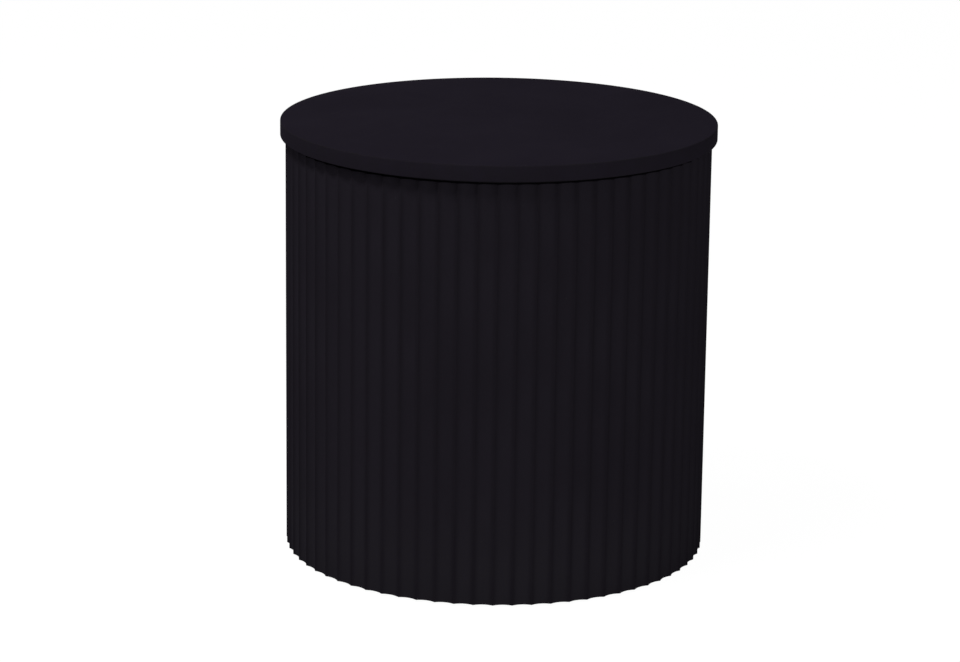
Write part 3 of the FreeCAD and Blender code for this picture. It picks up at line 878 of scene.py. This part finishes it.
def make_black_plastic():
    """Moulded plastic with a fine satin texture."""
    finish = Finish("moulded_plastic")
    tree = finish.tree
    film = finish.effect(FILM, Cloud_Scale=70.0, Ripple_Scale=2600.0, Dust_Scale=500.0)
    scuff = finish.effect(SCUFFS, Scale=500.0)["Scuff"]
    tone = mix_colours(tree, film["Cloud"], PLASTIC_DARK, PLASTIC_PALE)
    rubbed = work_out(tree, "MULTIPLY", scuff, PLASTIC_SCUFF_SHARE)
    finish.feed(
        Base_Color=mix_colours(tree, rubbed, tone, PLASTIC_PALE),
        Roughness=fade(tree, scuff, *PLASTIC_ROUGHNESS),
    )
    finish.bump(film["Ripple"], PLASTIC_GRAIN)
    return finish.material


# Felt
FELT_DARK = (0.03, 0.027, 0.027, 1)
FELT_PALE = (0.085, 0.078, 0.076, 1)
FELT_LOOSE_SHARE = 0.5
FELT_ROUGHNESS = (1.0, 0.9)
FELT_NAP = 0.3 * MM


def make_felt():
    """Pressed grey-black felt."""
    finish = Finish("pressed_felt", Specular_IOR_Level=0.1, Sheen_Weight=0.15)
    tree = finish.tree
    mat = finish.effect(MAT, Fibre_Scale=1500.0, Clump_Scale=260.0)
    clumps = fade(tree, mat["Clump"], FELT_LOOSE_SHARE, 1.0)
    tone = work_out(tree, "MULTIPLY", mat["Fibre"], clumps)
    finish.feed(
        Base_Color=mix_colours(tree, tone, FELT_DARK, FELT_PALE),
        Roughness=fade(tree, mat["Fibre"], *FELT_ROUGHNESS),
    )
    finish.bump(mat["Fibre"], FELT_NAP)
    return finish.material


def finish_solids(material, *names):
    """Gives a finish to solids that are shown as they are."""
    for name in names:
        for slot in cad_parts[name].material_slots:
            slot.material = material


# Dressing the table

def dress_drum():
    """The lacquered top and fluted shell."""
    top_board = make_top_board()
    top_lacquer = make_lacquer(
        "top_lacquer", TOP_DEEP, TOP_PALE, find_top_rims, RIM_PAINTED_LIGHT, Patch_Scale=60.0, Least_Wear=0.3
    )
    top_board.data.materials.append(top_lacquer)
    dress(top_board, "drum", "top_panel")
    shell = make_fluted_shell()
    flute_lacquer = make_lacquer(
        "flute_lacquer", FLUTE_DEEP_PAINTED_LIGHTER, FLUTE_PALE_PAINTED_LIGHTER, find_ridges, RIDGE_PAINTED_SHADE, Patch_Scale=18.0, Least_Wear=0.7
    )
    shell.data.materials.append(flute_lacquer)
    dress(shell, "drum", "fluted_wrap")


def dress_feet(zinc):
    """The four stems, pads and soles."""
    stem = make_stem()
    stem.data.materials.append(zinc)
    copy_to_feet(stem, "stem", "foot_stem")
    pad = make_pad()
    pad.data.materials.append(make_black_plastic())
    copy_to_feet(pad, "foot", "foot_pad")
    sole = make_sole()
    sole.data.materials.append(make_felt())
    copy_to_feet(sole, "foot", "foot_sole")


def finish_frame(zinc):
    """The rings, base board, stiles, dowels, screws and inserts inside the shell."""
    finish_solids(make_raw_board(), "top_ring", "middle_ring")
    finish_solids(make_sealed_board(), "base_board")
    pine = make_wood(
        "pine", PINE_EARLY, PINE_LATE, PINE_FIBRE, PAINT_LOW, Ring_Scale=38.0, Fibre_Scale=260.0
    )
    finish_solids(pine, *(f"stile_{number}" for number in range(1, STILE_COUNT + 1)))
    beech = make_wood(
        "beech", BEECH_EARLY, BEECH_LATE, BEECH_FIBRE, TABLE_HEIGHT, Ring_Scale=60.0, Fibre_Scale=420.0
    )
    finish_solids(beech, "top_dowels")
    finish_solids(zinc, "top_screws", "top_ring_screws", "middle_ring_screws", "base_screws")
    finish_solids(zinc, *(f"foot_insert_{number}" for number in range(1, len(FOOT_ANGLES) + 1)))


dress_drum()
zinc_steel = make_zinc_steel()
dress_feet(zinc_steel)
finish_frame(zinc_steel)


# Studio, with lamp powers in watts

FLOOR_SIZE = 30.0
FLOOR_GREY = (0.7, 0.7, 0.7, 1)
WHITE = (1, 1, 1, 1)
FLOOR_GLOW = 0.98
FLOOR_SHADED = (0.05, 0.05, 0.05, 1)
AMBIENT_STRENGTH = 0.2
TABLE_MIDDLE = Vector((0, 0, 0.25))
KEY_PLACE = Vector((-1.45, -1.05, 3.65))
KEY_WIDTH = 1.6
KEY_HEIGHT = 0.5
KEY_POWER = 95.0
FILL_PLACE = Vector((1.75, -3.05, 1.3))
FILL_WIDTH = 1.6
FILL_HEIGHT = 1.6
FILL_POWER = 43.0
SIDE_PLACE = Vector((-2.9, 0.4, 1.9))
SIDE_WIDTH = 1.0
SIDE_HEIGHT = 1.0
SIDE_POWER = 26.0


def find_seen_rays(tree):
    """1 for rays that come from the camera or through a reflection or glass, 0 for the rest."""
    rays = tree.nodes.new("ShaderNodeLightPath").outputs
    seen = work_out(tree, "MAXIMUM", rays["Is Camera Ray"], rays["Is Glossy Ray"])
    return work_out(tree, "MAXIMUM", seen, rays["Is Transmission Ray"])


def make_floor_material():
    """White to the eye apart from the table's shadow, pale to light, and clear from below."""
    material = bpy.data.materials.new("white_floor")
    material.use_nodes = True
    material.cycles.emission_sampling = "NONE"
    tree = material.node_tree
    tree.nodes.remove(tree.nodes["Principled BSDF"])
    pale = add_node(tree, "BsdfDiffuse", {"Color": FLOOR_GREY}).outputs[0]
    white = add_node(tree, "Emission", {"Color": WHITE, "Strength": FLOOR_GLOW}).outputs[0]
    shaded = add_node(tree, "BsdfDiffuse", {"Color": FLOOR_SHADED}).outputs[0]
    seen = add_node(tree, "AddShader", {0: white, 1: shaded}).outputs[0]
    lit = add_node(tree, "MixShader", {0: find_seen_rays(tree), 1: pale, 2: seen}).outputs[0]
    clear = tree.nodes.new("ShaderNodeBsdfTransparent").outputs[0]
    below = tree.nodes.new("ShaderNodeNewGeometry").outputs["Backfacing"]
    floor = add_node(tree, "MixShader", {0: below, 1: lit, 2: clear}).outputs[0]
    tree.links.new(floor, tree.nodes["Material Output"].inputs["Surface"])
    return material


def make_floor():
    deselect_all()
    bpy.ops.mesh.primitive_plane_add(size=FLOOR_SIZE)
    floor = bpy.context.active_object
    floor.name = "floor"
    floor.data.materials.append(make_floor_material())


def light_world():
    """Even light from all round, seen as white."""
    world = bpy.data.worlds.new("studio")
    bpy.context.scene.world = world
    world.use_nodes = True
    tree = world.node_tree
    tree.nodes.remove(tree.nodes["Background"])
    even = add_node(tree, "Background", {"Color": WHITE, "Strength": AMBIENT_STRENGTH}).outputs[0]
    white = add_node(tree, "Background", {"Color": WHITE, "Strength": 1.0}).outputs[0]
    both = add_node(tree, "MixShader", {0: find_seen_rays(tree), 1: even, 2: white}).outputs[0]
    tree.links.new(both, tree.nodes["World Output"].inputs["Surface"])


def add_lamp(name, place, width, height, power):
    """A soft lamp aimed at the table."""
    bpy.ops.object.light_add(type="AREA", location=place)
    lamp = bpy.context.active_object
    lamp.name = name
    lamp.data.shape = "RECTANGLE"
    lamp.data.size = width
    lamp.data.size_y = height
    lamp.data.energy = power
    lamp.visible_camera = False
    lamp.rotation_mode = "QUATERNION"
    lamp.rotation_quaternion = (TABLE_MIDDLE - place).to_track_quat("-Z", "Y")


make_floor()
light_world()
add_lamp("key_lamp", KEY_PLACE, KEY_WIDTH, KEY_HEIGHT, KEY_POWER)
add_lamp("fill_lamp", FILL_PLACE, FILL_WIDTH, FILL_HEIGHT, FILL_POWER)
add_lamp("side_lamp", SIDE_PLACE, SIDE_WIDTH, SIDE_HEIGHT, SIDE_POWER)
bpy.context.scene.view_settings.view_transform = "Standard"


# Camera

CAMERA_LENS = 130.545
CAMERA_DISTANCE = 4.0471
CAMERA_RISE = math.radians(15.19)
CAMERA_ROLL = math.radians(0.696)
AIM_LEFT = 18.86 * MM
AIM_UP = 3.6 * MM


def add_camera():
    """A long lens in front of the table and a little above it, tipped slightly to one side."""
    back = Vector((0, -math.cos(CAMERA_RISE), math.sin(CAMERA_RISE)))
    up = Vector((0, math.sin(CAMERA_RISE), math.cos(CAMERA_RISE)))
    place = TABLE_MIDDLE + back * CAMERA_DISTANCE
    aim = TABLE_MIDDLE + Vector((-AIM_LEFT, 0, 0)) + up * AIM_UP
    bpy.ops.object.camera_add(location=place)
    camera = bpy.context.active_object
    camera.data.lens = CAMERA_LENS
    camera.rotation_mode = "QUATERNION"
    camera.rotation_quaternion = (aim - place).to_track_quat("-Z", "Y") @ Quaternion((0, 0, 1), CAMERA_ROLL)
    bpy.context.scene.camera = camera


add_camera()
